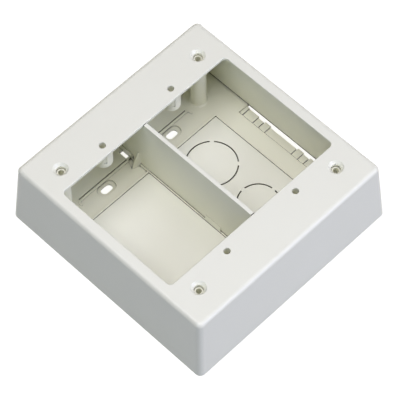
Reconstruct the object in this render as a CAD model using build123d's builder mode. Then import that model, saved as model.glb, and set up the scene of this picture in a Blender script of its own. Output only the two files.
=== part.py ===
"""Two-gang surface mount box: deep cover, flat base and an upright divider.

The box lies on its back. Z points out of the wall, Y is up the wall and X runs from gang
to gang. The origin is on the wall, at the middle of the box. Sizes are in millimetres.
"""
from build123d import *
import math
import os

os.makedirs("parts", exist_ok=True)

# Outer form of the cover
BOX_WIDTH = 128.0
BOX_LENGTH = 129.0
BOX_HEIGHT = 40.7
SIDE_LEAN = 3.05
UPRIGHT_CORNER_RADIUS = 3.0
FRONT_EDGE_RADIUS = 2.35
WALL = 2.3
FRONT_PLATE = 1.6
ROOM_CORNER_RADIUS = 1.5
ROOM_CEILING_CHAMFER = 0.8

# Opening in the front: inside even side rims, and short of the device screws at its ends
SIDE_RIM = 6.2
DEVICE_SCREW_SETBACK = 5.47
OPENING_CORNER_RADIUS = 2.4
OPENING_EDGE_RADIUS = 0.4

# Device screws: two gangs side by side
GANG_PITCH = 46.04
DEVICE_SCREW_PITCH = 83.34
DEVICE_SCREW_HOLE = 3.5
DEVICE_BOSS = 9.6
DEVICE_BOSS_REACH = 12.4
BOSS_FLUTE_WIDTH = 1.6
BOSS_FLUTE_DEPTH = 0.5
BOSS_FLUTE_SILL = 3.0
BOSS_FLUTE_TURN = 28.0

# Corner screws, which pull the cover onto the posts of the base
CORNER_SCREW_PITCH = 92.3
CORNER_SCREW_HOLE = 4.8
CORNER_SINK = 7.7
CORNER_SINK_ANGLE = 90.0
CORNER_SEAT = 11.0
CORNER_SEAT_RISE = 1.2
POST_DIAMETER = 8.2
POST_FOOT = 0.8
POST_GAP = 0.2
POST_PILOT = 2.9
POST_PILOT_DEPTH = 14.0
POST_CORE = 4.4
POST_CORE_DEPTH = 18.0

# Base plate, let into a rebate at the back of the cover
PLATE_THICKNESS = 2.2
REBATE_DEPTH = 0.8
REBATE_HEADROOM = 1.0
BASE_CLEARANCE = 0.25

# Raised pad, hollow at the back; a bead and a fine groove go round each compartment
PAD_WIDTH = 91.5
PAD_LENGTH = 67.2
PAD_CORNER_RADIUS = 1.2
PAD_RISE = 0.8
PAD_SKIN = 1.9
PAD_RIM = 2.4
BEAD_WIDTH = 0.95
BEAD_RISE = 0.4
BEAD_CHAMFER = 0.15
BEAD_GROOVE_WIDTH = 0.3
BEAD_GROOVE_DEPTH = 0.3

# Round knockouts in the pad, held by four bridges each
LARGE_KNOCKOUT = 26.2
LARGE_KNOCKOUT_X = 23.4
LARGE_KNOCKOUT_Y = 14.2
SMALL_KNOCKOUT = 21.3
SMALL_KNOCKOUT_X = 23.4
SMALL_KNOCKOUT_Y = -17.8
KNOCKOUT_GROOVE = 0.7
KNOCKOUT_SKIN = 0.4
KNOCKOUT_BRIDGE = 2.2

# Wall screw slots, close to the line of the device screws
WALL_SLOT_X = 22.55
WALL_SLOT_Y = 41.45
WALL_SLOT_LENGTH = 6.6
WALL_SLOT_WIDTH = 4.0
DISH_LENGTH = 10.8
DISH_WIDTH = 7.2
DISH_DEPTH = 0.9

# Low ribs beyond the wall slots, each with a groove behind it
RIB_Y = 45.2
RIB_START = 4.2
RIB_END = 37.9
RIB_RETURN = 2.6
RIB_BEND_RADIUS = 1.2
RIB_WIDTH = 1.1
RIB_RISE = 0.4
RIB_GROOVE_WIDTH = 0.8
RIB_GROOVE_DEPTH = 0.5

# Breakout tabs along the four edges: half width of each pair of slits, and how far
# the tab inside it stands back from the edge of the plate
TABS = ((9.1, 2.6), (13.4, 1.8), (17.35, 2.55), (24.3, 1.8))
TAB_EDGE_SETBACK = 1.4
TAB_THICKNESS = 1.5
TAB_SLIT = 0.5
TAB_SCORE_WIDTH = 0.5
TAB_SCORE_SKIN = 0.35
TAB_LENGTH_X = 7.3
TAB_LENGTH_Y = 7.8
TAB_STRIP_MARGIN = 2.2

# Divider between the gangs, and what holds it
DIVIDER_THICKNESS = 2.2
DIVIDER_PLAY = 0.1
DIVIDER_FRONT_DROP = 0.2
DIVIDER_END_GAP = 0.4
DIVIDER_EDGE_RADIUS = 0.35
FOOT_START = 44.8
FOOT_END = 54.2
FOOT_TOP = 5.4
FOOT_PROUD = 0.35
FOOT_CORNER_RADIUS = 1.8
FOOT_GROOVE = 0.5
TONGUE_TIP = 0.4
TONGUE_CHAMFER = 0.4
LATCH_SLOT_WIDTH = 7.6
LATCH_SLOT_LENGTH = 5.2
LATCH_SLOT_Y = 49.6
LATCH_SLOT_GAP = 0.4
STOP_THICKNESS = 0.8
STOP_TOP_THICKNESS = 0.1
STOP_RISE = 3.4
STOP_Y = -11.0
STOP_LENGTH = 10.2
BRACE_START = 38.7
BRACE_LENGTH = 5.3
BRACE_TIP = (-6.2, 40.3)
BRACE_RISE = 9.4
BRACE_PEAK_Y = 40.6
BRACE_PEAK_SIZE = 0.6
NOTCH_DEPTH = 1.7
NOTCH_SHOULDER = (-4.6, 44.6)
NOTCH_END = (-2.9, 46.2)

# Sizes that follow from those above
DRAFT_ANGLE = math.degrees(math.atan2(SIDE_LEAN, BOX_HEIGHT))
OPENING_WIDTH = BOX_WIDTH - 2 * (SIDE_LEAN + SIDE_RIM)
OPENING_LENGTH = DEVICE_SCREW_PITCH - 2 * DEVICE_SCREW_SETBACK
ROOM_WIDTH = BOX_WIDTH - 2 * WALL
ROOM_LENGTH = BOX_LENGTH - 2 * WALL
ROOM_HEIGHT = BOX_HEIGHT - FRONT_PLATE
REBATE_WIDTH = ROOM_WIDTH + 2 * REBATE_DEPTH
REBATE_LENGTH = ROOM_LENGTH + 2 * REBATE_DEPTH
REBATE_HEIGHT = PLATE_THICKNESS + REBATE_HEADROOM
BASE_WIDTH = REBATE_WIDTH - 2 * BASE_CLEARANCE
BASE_LENGTH = REBATE_LENGTH - 2 * BASE_CLEARANCE
BOSS_BOTTOM = BOX_HEIGHT - DEVICE_BOSS_REACH
PAD_TOP = PLATE_THICKNESS + PAD_RISE
POST_TOP = ROOM_HEIGHT - CORNER_SEAT_RISE - POST_GAP
HALF_DIVIDER = DIVIDER_THICKNESS / 2
HALF_FOOT = HALF_DIVIDER + FOOT_PROUD
CHANNEL_WIDTH = DIVIDER_THICKNESS + 2 * DIVIDER_PLAY
HALF_CHANNEL = CHANNEL_WIDTH / 2
CELL_WIDTH = (PAD_WIDTH - CHANNEL_WIDTH) / 2 - BEAD_WIDTH - STOP_THICKNESS
CELL_LENGTH = PAD_LENGTH - 2 * BEAD_WIDTH
CELL_PITCH = CHANNEL_WIDTH + 2 * STOP_THICKNESS + CELL_WIDTH


def leaning_block(width, length, height, corner_radius):
    """Solid on Z = 0 whose four sides lean in and whose upright corners are round."""
    with BuildPart() as block:
        with BuildSketch():
            Rectangle(width, length)
        extrude(amount=height, taper=DRAFT_ANGLE)
        uprights = block.edges().filter_by(lambda edge: abs(edge.tangent_at(0.5).Z) > 0.5)
        fillet(uprights, corner_radius)
    return block.part


def room():
    """Hollow of the cover, bevelled where its walls meet the front plate."""
    with BuildPart() as hollow:
        add(leaning_block(ROOM_WIDTH, ROOM_LENGTH, ROOM_HEIGHT, ROOM_CORNER_RADIUS))
        ceiling = hollow.faces().sort_by(Axis.Z)[-1]
        chamfer(ceiling.edges(), ROOM_CEILING_CHAMFER)
    return hollow.part


# Cover
shell = leaning_block(BOX_WIDTH, BOX_LENGTH, BOX_HEIGHT, UPRIGHT_CORNER_RADIUS)
shell_room = room()

with BuildPart() as cover:
    add(shell)
    fillet(cover.faces().sort_by(Axis.Z)[-1].edges(), FRONT_EDGE_RADIUS)
    add(shell_room, mode=Mode.SUBTRACT)
    with BuildSketch():
        RectangleRounded(REBATE_WIDTH, REBATE_LENGTH, ROOM_CORNER_RADIUS)
    extrude(amount=REBATE_HEIGHT, mode=Mode.SUBTRACT)

    # Bosses for the device screws, hanging from the front plate
    with BuildSketch(Plane.XY.offset(BOSS_BOTTOM)):
        with GridLocations(GANG_PITCH, DEVICE_SCREW_PITCH, 2, 2):
            Circle(DEVICE_BOSS / 2)
    extrude(amount=DEVICE_BOSS_REACH - FRONT_PLATE / 2)

    # Round seats round the corner screws, where the posts meet the cover
    with BuildSketch(Plane.XY.offset(ROOM_HEIGHT - CORNER_SEAT_RISE)):
        with GridLocations(CORNER_SCREW_PITCH, CORNER_SCREW_PITCH, 2, 2):
            Circle(CORNER_SEAT / 2)
    extrude(amount=CORNER_SEAT_RISE + FRONT_PLATE / 2)

    # Opening, cut from the front past the bosses
    with BuildSketch(Plane.XY.offset(BOX_HEIGHT)):
        RectangleRounded(OPENING_WIDTH, OPENING_LENGTH, OPENING_CORNER_RADIUS)
    extrude(amount=-BOX_HEIGHT, mode=Mode.SUBTRACT)
    rim = cover.faces().sort_by(Axis.Z)[-1].inner_wires()[0]
    fillet(rim.edges(), OPENING_EDGE_RADIUS)

    # Screw holes
    with Locations(Plane.XY.offset(BOX_HEIGHT)):
        with GridLocations(GANG_PITCH, DEVICE_SCREW_PITCH, 2, 2):
            Hole(DEVICE_SCREW_HOLE / 2)
        with GridLocations(CORNER_SCREW_PITCH, CORNER_SCREW_PITCH, 2, 2):
            CounterSinkHole(CORNER_SCREW_HOLE / 2, CORNER_SINK / 2, counter_sink_angle=CORNER_SINK_ANGLE)

    # Flute down the inner side of each boss, above its plain lower end
    for side in (1, -1):
        turn = -BOSS_FLUTE_TURN if side > 0 else 180 - BOSS_FLUTE_TURN
        for gang in (-1, 1):
            sill = (gang * GANG_PITCH / 2, side * DEVICE_SCREW_PITCH / 2, BOSS_BOTTOM + BOSS_FLUTE_SILL)
            with Locations(Location(sill, (0, 0, turn))):
                with Locations((0, BOSS_FLUTE_DEPTH - DEVICE_BOSS / 2)):
                    Box(
                        BOSS_FLUTE_WIDTH,
                        DEVICE_BOSS,
                        DEVICE_BOSS_REACH - BOSS_FLUTE_SILL - FRONT_PLATE,
                        align=(Align.CENTER, Align.MAX, Align.MIN),
                        mode=Mode.SUBTRACT,
                    )


# Base
with BuildPart() as base:
    with BuildSketch():
        RectangleRounded(BASE_WIDTH, BASE_LENGTH, ROOM_CORNER_RADIUS)
    extrude(amount=PLATE_THICKNESS)

    # Corner posts with a flared foot, a pilot hole in front and a core at the back
    with BuildSketch(Plane.XY.offset(PLATE_THICKNESS)):
        with GridLocations(CORNER_SCREW_PITCH, CORNER_SCREW_PITCH, 2, 2):
            Circle(POST_DIAMETER / 2)
    extrude(amount=POST_TOP - PLATE_THICKNESS)
    feet = base.edges().filter_by(GeomType.CIRCLE).filter_by_position(
        Axis.Z, PLATE_THICKNESS, PLATE_THICKNESS
    )
    chamfer(feet.filter_by(lambda edge: edge.is_closed), POST_FOOT)

    # Pad: raised in front, hollow at the back
    with BuildSketch(Plane.XY.offset(PLATE_THICKNESS)):
        RectangleRounded(PAD_WIDTH, PAD_LENGTH, PAD_CORNER_RADIUS)
    extrude(amount=PAD_RISE)
    with BuildSketch(Plane.XY.offset(PAD_TOP - PAD_SKIN)):
        RectangleRounded(PAD_WIDTH - 2 * PAD_RIM, PAD_LENGTH - 2 * PAD_RIM, PAD_CORNER_RADIUS)
    extrude(amount=-PAD_TOP, mode=Mode.SUBTRACT)

    # Bead round both compartments, open along the middle where the divider stands
    with BuildSketch(Plane.XY.offset(PAD_TOP)):
        RectangleRounded(PAD_WIDTH, PAD_LENGTH, PAD_CORNER_RADIUS)
        with GridLocations(CELL_PITCH, 0, 2, 1):
            Rectangle(CELL_WIDTH, CELL_LENGTH, mode=Mode.SUBTRACT)
        Rectangle(CHANNEL_WIDTH, PAD_LENGTH, mode=Mode.SUBTRACT)
    extrude(amount=BEAD_RISE)
    bead_tops = base.faces().filter_by(Axis.Z).filter_by_position(
        Axis.Z, PAD_TOP + BEAD_RISE, PAD_TOP + BEAD_RISE
    )
    chamfer(bead_tops.edges(), BEAD_CHAMFER)
    with BuildSketch(Plane.XY.offset(PAD_TOP)):
        with GridLocations(CELL_PITCH, 0, 2, 1):
            Rectangle(CELL_WIDTH, CELL_LENGTH)
            Rectangle(
                CELL_WIDTH - 2 * BEAD_GROOVE_WIDTH,
                CELL_LENGTH - 2 * BEAD_GROOVE_WIDTH,
                mode=Mode.SUBTRACT,
            )
    extrude(amount=-BEAD_GROOVE_DEPTH, mode=Mode.SUBTRACT)

    # Knockouts: ring grooves that leave a thin skin, broken by four bridges
    knockouts = (
        (LARGE_KNOCKOUT_X, LARGE_KNOCKOUT_Y, LARGE_KNOCKOUT, 45),
        (SMALL_KNOCKOUT_X, SMALL_KNOCKOUT_Y, SMALL_KNOCKOUT, 0),
    )
    for x, y, diameter, bridge_angle in knockouts:
        with BuildSketch(Plane.XY.offset(PAD_TOP)):
            with Locations((x, y)):
                Circle((diameter + KNOCKOUT_GROOVE) / 2)
                Circle((diameter - KNOCKOUT_GROOVE) / 2, mode=Mode.SUBTRACT)
                with PolarLocations(diameter / 2, 4, start_angle=bridge_angle):
                    Rectangle(2 * KNOCKOUT_GROOVE, KNOCKOUT_BRIDGE, mode=Mode.SUBTRACT)
        extrude(amount=KNOCKOUT_SKIN - PAD_SKIN, mode=Mode.SUBTRACT)

    # Wall screw slots, each in a shallow dish
    with BuildSketch(Plane.XY.offset(PLATE_THICKNESS)):
        with GridLocations(2 * WALL_SLOT_X, 2 * WALL_SLOT_Y, 2, 2):
            SlotOverall(DISH_LENGTH, DISH_WIDTH)
    extrude(amount=-DISH_DEPTH, mode=Mode.SUBTRACT)
    with BuildSketch():
        with GridLocations(2 * WALL_SLOT_X, 2 * WALL_SLOT_Y, 2, 2):
            SlotOverall(WALL_SLOT_LENGTH, WALL_SLOT_WIDTH)
    extrude(amount=PLATE_THICKNESS, mode=Mode.SUBTRACT)

    # Low ribs beyond the slots, turned in at their outer ends
    with BuildSketch(Plane.XY.offset(PLATE_THICKNESS)):
        with BuildLine():
            FilletPolyline(
                (RIB_START, RIB_Y),
                (RIB_END, RIB_Y),
                (RIB_END, RIB_Y - RIB_RETURN),
                radius=RIB_BEND_RADIUS,
            )
        trace(line_width=RIB_WIDTH)
        mirror(about=Plane.YZ)
        mirror(about=Plane.XZ)
    extrude(amount=RIB_RISE)
    groove_length = RIB_END - RIB_BEND_RADIUS - RIB_START
    with BuildSketch(Plane.XY.offset(PLATE_THICKNESS)):
        with Locations((RIB_START, RIB_Y + RIB_WIDTH / 2)):
            Rectangle(groove_length, RIB_GROOVE_WIDTH, align=(Align.MIN, Align.MIN))
        mirror(about=Plane.YZ)
        mirror(about=Plane.XZ)
    extrude(amount=-RIB_GROOVE_DEPTH, mode=Mode.SUBTRACT)

    # Breakout tabs on each edge: a thin strip, a score line, slits and stepped ends
    edges_with_tabs = (
        (0, BASE_WIDTH / 2, TAB_LENGTH_X),
        (90, BASE_LENGTH / 2, TAB_LENGTH_Y),
        (180, BASE_WIDTH / 2, TAB_LENGTH_X),
        (270, BASE_LENGTH / 2, TAB_LENGTH_Y),
    )
    strip_width = 2 * (TABS[-1][0] + TAB_STRIP_MARGIN)
    with BuildSketch(Plane.XY.offset(TAB_THICKNESS)):
        for turn, edge, length in edges_with_tabs:
            with Locations(Location((0, 0, 0), (0, 0, turn))):
                with Locations((edge - length, 0)):
                    Rectangle(length, strip_width, align=(Align.MIN, Align.CENTER))
    extrude(amount=PLATE_THICKNESS, mode=Mode.SUBTRACT)
    with BuildSketch(Plane.XY.offset(TAB_SCORE_SKIN)):
        for turn, edge, length in edges_with_tabs:
            with Locations(Location((0, 0, 0), (0, 0, turn))):
                with Locations((edge - length, 0)):
                    Rectangle(TAB_SCORE_WIDTH, strip_width, align=(Align.MIN, Align.CENTER))
    extrude(amount=PLATE_THICKNESS, mode=Mode.SUBTRACT)
    with BuildSketch():
        for turn, edge, length in edges_with_tabs:
            with Locations(Location((0, 0, 0), (0, 0, turn))):
                with Locations((edge, 0)):
                    Rectangle(TAB_EDGE_SETBACK, strip_width, align=(Align.MAX, Align.CENTER))
            inner = 0
            for reach, setback in TABS:
                with Locations(Location((0, 0, 0), (0, 0, turn))):
                    with Locations((edge - length, reach), (edge - length, -reach)):
                        Rectangle(length, TAB_SLIT, align=(Align.MIN, Align.CENTER))
                    middle = (inner + reach) / 2
                    with Locations((edge - setback, middle), (edge - setback, -middle)):
                        Rectangle(setback, reach - inner, align=(Align.MIN, Align.CENTER))
                inner = reach
    extrude(amount=PLATE_THICKNESS, mode=Mode.SUBTRACT)

    # Latch slots that take the divider's tongues
    with BuildSketch():
        with GridLocations(0, 2 * LATCH_SLOT_Y, 1, 2):
            Rectangle(LATCH_SLOT_WIDTH, LATCH_SLOT_LENGTH)
    extrude(amount=PLATE_THICKNESS, mode=Mode.SUBTRACT)

    # What keeps the divider upright: a wedge on the pad, then a rail and a brace beyond it
    rail_start = PAD_LENGTH / 2 - BEAD_WIDTH
    rail_length = BRACE_START + STOP_THICKNESS - rail_start
    for turn in (0, 180):
        with BuildSketch(Plane.XZ.rotated((0, 0, turn)).offset(-STOP_Y)):
            Polygon(
                (-HALF_DIVIDER, PLATE_THICKNESS),
                (-HALF_DIVIDER, PAD_TOP + STOP_RISE),
                (-HALF_DIVIDER - STOP_TOP_THICKNESS, PAD_TOP + STOP_RISE),
                (-HALF_CHANNEL - STOP_THICKNESS, PAD_TOP),
                (-HALF_CHANNEL - STOP_THICKNESS, PLATE_THICKNESS),
                align=None,
            )
        extrude(amount=STOP_LENGTH / 2, both=True)
        with BuildSketch(Plane.XY.offset(PLATE_THICKNESS)):
            with Locations(Location((0, 0, 0), (0, 0, turn))):
                with Locations((-HALF_CHANNEL, rail_start)):
                    Rectangle(STOP_THICKNESS, rail_length, align=(Align.MAX, Align.MIN))
        extrude(amount=PAD_RISE + BEAD_RISE)
        with BuildSketch(Plane.XY.offset(PLATE_THICKNESS)):
            with Locations(Location((0, 0, 0), (0, 0, turn))):
                Polygon(
                    (-HALF_DIVIDER, BRACE_START),
                    (-HALF_DIVIDER, BRACE_START + BRACE_LENGTH),
                    BRACE_TIP,
                    align=None,
                )
        with BuildSketch(Plane.XY.offset(PLATE_THICKNESS + BRACE_RISE)):
            with Locations(Location((0, 0, 0), (0, 0, turn))):
                Polygon(
                    (-HALF_DIVIDER, BRACE_PEAK_Y - BRACE_PEAK_SIZE / 2),
                    (-HALF_DIVIDER, BRACE_PEAK_Y + BRACE_PEAK_SIZE / 2),
                    (-HALF_DIVIDER - BRACE_PEAK_SIZE, BRACE_PEAK_Y),
                    align=None,
                )
        loft(ruled=True)

    # Pointed notch behind each brace
    with BuildSketch(Plane.XY.offset(PLATE_THICKNESS)):
        for turn in (0, 180):
            with Locations(Location((0, 0, 0), (0, 0, turn))):
                Polygon(
                    BRACE_TIP,
                    NOTCH_SHOULDER,
                    NOTCH_END,
                    (-HALF_FOOT, NOTCH_END[1]),
                    (-HALF_FOOT, BRACE_START + BRACE_LENGTH),
                    align=None,
                )
    extrude(amount=-NOTCH_DEPTH, mode=Mode.SUBTRACT)

    # Holes of the posts come last, so that their feet are whole
    with Locations(Plane.XY.offset(POST_TOP)):
        with GridLocations(CORNER_SCREW_PITCH, CORNER_SCREW_PITCH, 2, 2):
            Hole(POST_PILOT / 2, depth=POST_PILOT_DEPTH)
    with BuildSketch():
        with GridLocations(CORNER_SCREW_PITCH, CORNER_SCREW_PITCH, 2, 2):
            Circle(POST_CORE / 2)
    extrude(amount=POST_CORE_DEPTH, mode=Mode.SUBTRACT)


# Divider: its profile follows the room from the pad to the opening
def room_half_length(height):
    """Half the length of the cover's room at a height above the wall."""
    return ROOM_LENGTH / 2 - height * SIDE_LEAN / BOX_HEIGHT


divider_shoulder = ROOM_HEIGHT - DIVIDER_END_GAP
divider_front = BOX_HEIGHT - DIVIDER_FRONT_DROP
front_reach = OPENING_LENGTH / 2 - DIVIDER_END_GAP
shoulder_reach = room_half_length(divider_shoulder) - ROOM_CEILING_CHAMFER - DIVIDER_END_GAP
heel_reach = room_half_length(PLATE_THICKNESS) - DIVIDER_END_GAP
pad_reach = PAD_LENGTH / 2 + DIVIDER_PLAY

with BuildPart() as divider:
    with BuildSketch(Plane.YZ):
        with BuildLine():
            Polyline(
                (0, PAD_TOP),
                (pad_reach, PAD_TOP),
                (pad_reach, PLATE_THICKNESS),
                (heel_reach, PLATE_THICKNESS),
                (shoulder_reach, divider_shoulder),
                (front_reach, divider_shoulder),
                (front_reach, divider_front),
                (0, divider_front),
                close=True,
            )
        make_face()
        mirror(about=Plane.YZ)
    extrude(amount=HALF_DIVIDER, both=True)
    front_edges = divider.faces().sort_by(Axis.Z)[-1].edges()
    fillet(front_edges.filter_by(Axis.Y), DIVIDER_EDGE_RADIUS)

    # Feet: thicker ends set off by a groove, each with a tongue for its latch slot
    for hand in (1, -1):
        foot_middle = hand * (FOOT_START + FOOT_END) / 2
        foot_length = FOOT_END - FOOT_START
        foot_rise = FOOT_TOP - PLATE_THICKNESS
        for face in (1, -1):
            with BuildSketch(Plane.YZ.offset(face * HALF_FOOT)) as groove_outline:
                with Locations((foot_middle, PLATE_THICKNESS)):
                    Rectangle(
                        foot_length + 2 * FOOT_GROOVE,
                        foot_rise + FOOT_GROOVE,
                        align=(Align.CENTER, Align.MIN),
                    )
                groove_tops = groove_outline.vertices().group_by(Axis.Y)[-1]
                fillet(groove_tops, FOOT_CORNER_RADIUS + FOOT_GROOVE)
            extrude(amount=-face * (FOOT_PROUD + FOOT_GROOVE), mode=Mode.SUBTRACT)
        with BuildSketch(Plane.YZ) as foot_outline:
            with Locations((foot_middle, PLATE_THICKNESS)):
                Rectangle(foot_length, foot_rise, align=(Align.CENTER, Align.MIN))
            foot_tops = foot_outline.vertices().group_by(Axis.Y)[-1]
            fillet(foot_tops, FOOT_CORNER_RADIUS)
        extrude(amount=HALF_FOOT, both=True)
        with BuildSketch(Plane.XY.offset(TONGUE_TIP)):
            with Locations((0, hand * LATCH_SLOT_Y)):
                Rectangle(2 * HALF_FOOT, LATCH_SLOT_LENGTH - 2 * LATCH_SLOT_GAP)
        extrude(amount=PLATE_THICKNESS - TONGUE_TIP)
    tongue_tips = divider.faces().filter_by(Axis.Z).group_by(Axis.Z)[0]
    chamfer(tongue_tips.edges().filter_by(Axis.Y), TONGUE_CHAMFER)


for name, piece in (("cover", cover), ("base", base), ("divider", divider)):
    piece.part.label = name
    export_step(piece.part, f"parts/{name}.step")
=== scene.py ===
import math

import bpy
from mathutils import Matrix, Vector

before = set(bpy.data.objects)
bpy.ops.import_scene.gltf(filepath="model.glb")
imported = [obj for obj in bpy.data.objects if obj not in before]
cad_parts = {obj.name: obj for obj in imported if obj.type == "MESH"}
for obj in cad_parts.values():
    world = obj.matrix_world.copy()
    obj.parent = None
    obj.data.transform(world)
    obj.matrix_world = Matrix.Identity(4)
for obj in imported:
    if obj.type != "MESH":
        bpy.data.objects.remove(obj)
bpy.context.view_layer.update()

# Lengths are in metres, angles in degrees, lamps in watts, and colours are linear.

# Camera, as fitted to the photograph: a long lens, looking down at the near corner
LENS_MM = 217.0
SENSOR_MM = 36.0
CLIP_START = 0.05
CLIP_END = 50.0
AZIMUTH = -44.51
ELEVATION = 58.23
ROLL = -0.83
TARGET = Vector((0.0, 0.0, 0.025))
# From the target to the camera, along the picture's right, up and backwards
OFFSET = Vector((0.00069, -0.00686, 1.156))

# Lamps, which all face the target: name, place, width, length, watts, colour
LAMPS = (
    ("top_softbox", (0.00, 0.00, 1.40), 1.4, 1.4, 6.85, (0.895, 0.87, 0.975)),
    ("top_left_softbox", (-0.35, 0.00, 1.40), 1.0, 1.0, 10.3, (0.895, 0.87, 0.975)),
    ("side_softbox", (0.45, -1.15, 0.70), 1.1, 0.9, 13.4, (0.70, 0.725, 1.0)),
    ("left_softbox", (-1.20, -0.35, 0.60), 1.0, 0.8, 2.9, (0.45, 0.64, 1.0)),
)

# Floor: grey under the lamps, so that the shadow shows, with a glow that makes it white
FLOOR_HALF_SIZE = 1.6
FLOOR_DROP = 0.0002
FLOOR_GREY = (0.30, 0.30, 0.30, 1.0)
FLOOR_GLOW_COLOUR = (1.0, 0.995, 0.94, 1.0)
FLOOR_GLOW = 0.90

WORLD_COLOUR = (1.0, 1.0, 1.0, 1.0)

# Plastic: two tints that drift into each other, uneven gloss and a spark-eroded skin
PLASTIC_LIGHT = (0.895, 0.892, 0.715, 1.0)
PLASTIC_DARK = (0.875, 0.872, 0.690, 1.0)
PLASTIC_IOR = 1.5
GLOSS_SPREAD = 0.05
SKIN_STRENGTH = 0.25
SKIN_DEPTH = 0.00003

# Noise: scale and detail
TINT_CLOUDS = (45.0, 3.0)
GLOSS_CLOUDS = (220.0, 2.0)
SKIN_GRAIN = (5200.0, 2.0)

# Painted shade: grooves and inside corners take this dark tint where other walls stand within
# reach
PAINTED_CREVICE_SHADE = (0.105, 0.095, 0.045, 1.0)
CREVICE_REACH = 0.0016
CREVICE_SAMPLES = 8

# Openness at which the painted shade in a groove is darkest, and at which a surface counts as
# clear
COVER_CREVICE_SHADE = (0.12, 0.66)
BASE_CREVICE_SHADE = (0.28, 0.76)

# Patches: a tint, and the middle and half extents of the box where it holds. The top of
# the base's pad is a little more neutral, and the rebate under the cover gets painted shade.
PAD_PATCH = ((0.880, 0.884, 0.732, 1.0), (0.0, 0.0, 0.0030), (0.0446, 0.0325, 0.0001))
REBATE_PAINTED_SHADE = ((0.26, 0.25, 0.14, 1.0), (0.0, 0.0, 0.0016), (0.0628, 0.0633, 0.00155))

# Looks: node, roughness, painted crevice shade, patch
LOOKS = (
    ("cover", 0.32, COVER_CREVICE_SHADE, REBATE_PAINTED_SHADE),
    ("base", 0.33, BASE_CREVICE_SHADE, PAD_PATCH),
    ("divider", 0.33, COVER_CREVICE_SHADE, None),
)


def add(tree, kind, inputs, **settings):
    """New shader node with its settings, and with each input linked or set."""
    node = tree.nodes.new("ShaderNode" + kind)
    for key, value in settings.items():
        setattr(node, key, value)
    for key, value in inputs.items():
        if isinstance(value, bpy.types.NodeSocket):
            tree.links.new(value, node.inputs[key])
        else:
            node.inputs[key].default_value = value
    return node


def combine(tree, operation, first, second):
    """Number made from two others by a math operation."""
    return add(tree, "Math", {0: first, 1: second}, operation=operation).outputs["Value"]


def blend(tree, share, first, second):
    """Colour that runs from first to second as share runs from 0 to 1."""
    inputs = {"Factor": share, "A": first, "B": second}
    return add(tree, "Mix", inputs, data_type="RGBA").outputs["Result"]


def noise(tree, coords, scale, detail):
    """Number that drifts about a half from place to place."""
    inputs = {"Vector": coords, "Scale": scale, "Detail": detail}
    return add(tree, "TexNoise", inputs).outputs["Fac"]


def openness(tree, darkest, clear):
    """Number that falls from 1 on open surfaces to 0 deep in grooves and inside corners."""
    found = add(tree, "AmbientOcclusion", {"Distance": CREVICE_REACH}, samples=CREVICE_SAMPLES)
    inputs = {"Value": found.outputs["AO"], "From Min": darkest, "From Max": clear}
    return add(tree, "MapRange", inputs, interpolation_type="SMOOTHSTEP").outputs["Result"]


def within(tree, coords, middle, reach):
    """Number that is 1 inside a box, given by its middle and half extents, and 0 outside."""
    offset = add(tree, "VectorMath", {0: coords, 1: middle}, operation="SUBTRACT")
    size = add(tree, "VectorMath", {0: offset.outputs["Vector"]}, operation="ABSOLUTE")
    parts = add(tree, "SeparateXYZ", {"Vector": size.outputs["Vector"]})
    inside = 1.0
    for axis, limit in zip("XYZ", reach):
        near = combine(tree, "LESS_THAN", parts.outputs[axis], limit)
        inside = combine(tree, "MULTIPLY", inside, near)
    return inside


def seen_directly(tree):
    """Number that is 1 for a camera, mirror or glass ray and 0 for the light that spreads."""
    path = add(tree, "LightPath", {})
    seen = path.outputs["Is Camera Ray"]
    for kind in ("Is Glossy Ray", "Is Transmission Ray"):
        seen = combine(tree, "MAXIMUM", seen, path.outputs[kind])
    return seen


def moulded_plastic(name, roughness, crevice_shade, patch):
    """Satin moulded plastic: faint cloudy tint, a patch where given, painted shade in grooves
    and inside corners, spark-eroded skin and uneven gloss.
    """
    material = bpy.data.materials.new(name)
    material.use_nodes = True
    tree = material.node_tree
    shader = tree.nodes["Principled BSDF"]
    shader.inputs["IOR"].default_value = PLASTIC_IOR
    coords = add(tree, "TexCoord", {}).outputs["Object"]

    tint_and_shade = blend(tree, noise(tree, coords, *TINT_CLOUDS), PLASTIC_DARK, PLASTIC_LIGHT)
    # The patch gives the base's pad a more neutral tint, and gives the cover's rebate painted
    # shade
    if patch:
        patch_colour, middle, reach = patch
        tint_and_shade = blend(tree, within(tree, coords, middle, reach), tint_and_shade, patch_colour)
    # Painted shade: grooves and inside corners darken towards the crevice tint
    tint_and_shade = blend(tree, openness(tree, *crevice_shade), PAINTED_CREVICE_SHADE, tint_and_shade)
    tree.links.new(tint_and_shade, shader.inputs["Base Color"])

    gloss = add(tree, "MapRange", {
        "Value": noise(tree, coords, *GLOSS_CLOUDS),
        "To Min": roughness - GLOSS_SPREAD,
        "To Max": roughness + GLOSS_SPREAD,
    })
    tree.links.new(gloss.outputs["Result"], shader.inputs["Roughness"])

    skin = add(tree, "Bump", {
        "Height": noise(tree, coords, *SKIN_GRAIN),
        "Strength": SKIN_STRENGTH,
        "Distance": SKIN_DEPTH,
    })
    tree.links.new(skin.outputs["Normal"], shader.inputs["Normal"])
    return material


def make_looks():
    """Gives each CAD node its own plastic."""
    for name, roughness, crevice_shade, patch in LOOKS:
        material = moulded_plastic(f"{name}_plastic", roughness, crevice_shade, patch)
        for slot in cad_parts[name].material_slots:
            slot.material = material


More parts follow.
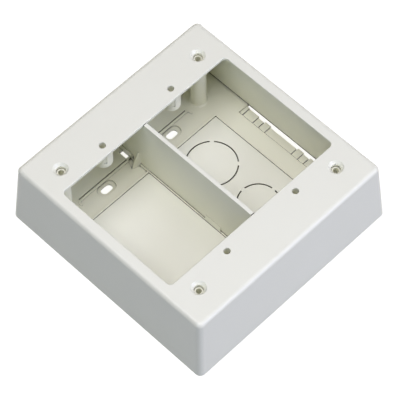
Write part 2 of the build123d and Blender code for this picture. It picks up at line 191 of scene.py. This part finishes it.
def make_floor():
    """Floor that looks white and still takes the object's shadow."""
    mesh = bpy.data.meshes.new("floor")
    far = FLOOR_HALF_SIZE
    corners = [(-far, -far, 0.0), (far, -far, 0.0), (far, far, 0.0), (-far, far, 0.0)]
    mesh.from_pydata(corners, [], [(0, 1, 2, 3)])
    floor = bpy.data.objects.new("floor", mesh)
    floor.location.z = -FLOOR_DROP
    bpy.context.scene.collection.objects.link(floor)

    material = bpy.data.materials.new("floor")
    material.use_nodes = True
    tree = material.node_tree
    tree.nodes.clear()
    lit = add(tree, "BsdfDiffuse", {"Color": FLOOR_GREY})
    strength = combine(tree, "MULTIPLY", seen_directly(tree), FLOOR_GLOW)
    glow = add(tree, "Emission", {"Color": FLOOR_GLOW_COLOUR, "Strength": strength})
    both = add(tree, "AddShader", {0: lit.outputs["BSDF"], 1: glow.outputs["Emission"]})
    add(tree, "OutputMaterial", {"Surface": both.outputs["Shader"]})
    mesh.materials.append(material)


def make_world():
    """World that looks white, also in the object's gloss, and gives no other light."""
    world = bpy.data.worlds.new("studio")
    world.use_nodes = True
    tree = world.node_tree
    tree.nodes.clear()
    inputs = {"Color": WORLD_COLOUR, "Strength": seen_directly(tree)}
    background = add(tree, "Background", inputs).outputs["Background"]
    add(tree, "OutputWorld", {"Surface": background})
    bpy.context.scene.world = world


def make_lamps():
    """Hangs the softboxes and turns them to the target."""
    for name, place, width, length, watts, colour in LAMPS:
        lamp = bpy.data.lights.new(name, "AREA")
        lamp.shape = "RECTANGLE"
        lamp.size = width
        lamp.size_y = length
        lamp.energy = watts
        lamp.color = colour
        holder = bpy.data.objects.new(name, lamp)
        holder.location = place
        aim = TARGET - Vector(place)
        holder.rotation_euler = aim.to_track_quat("-Z", "Y").to_euler()
        bpy.context.scene.collection.objects.link(holder)


def make_camera():
    """Camera with the photograph's own place, turn and framing."""
    azimuth, elevation, roll = (math.radians(angle) for angle in (AZIMUTH, ELEVATION, ROLL))
    back = Vector((
        math.sin(azimuth) * math.cos(elevation),
        -math.cos(azimuth) * math.cos(elevation),
        math.sin(elevation),
    ))
    level = Vector((math.cos(azimuth), math.sin(azimuth), 0.0))
    upright = back.cross(level)
    right = level * math.cos(roll) + upright * math.sin(roll)
    up = upright * math.cos(roll) - level * math.sin(roll)
    turn = Matrix((right, up, back)).transposed()

    camera = bpy.data.cameras.new("camera")
    camera.lens = LENS_MM
    camera.sensor_width = SENSOR_MM
    camera.clip_start = CLIP_START
    camera.clip_end = CLIP_END
    holder = bpy.data.objects.new("camera", camera)
    holder.matrix_world = Matrix.Translation(TARGET + turn @ OFFSET) @ turn.to_4x4()
    bpy.context.scene.collection.objects.link(holder)
    bpy.context.scene.camera = holder


make_looks()
make_floor()
make_world()
make_lamps()
make_camera()
bpy.context.scene.view_settings.view_transform = "Standard"

bpy.context.view_layer.update()
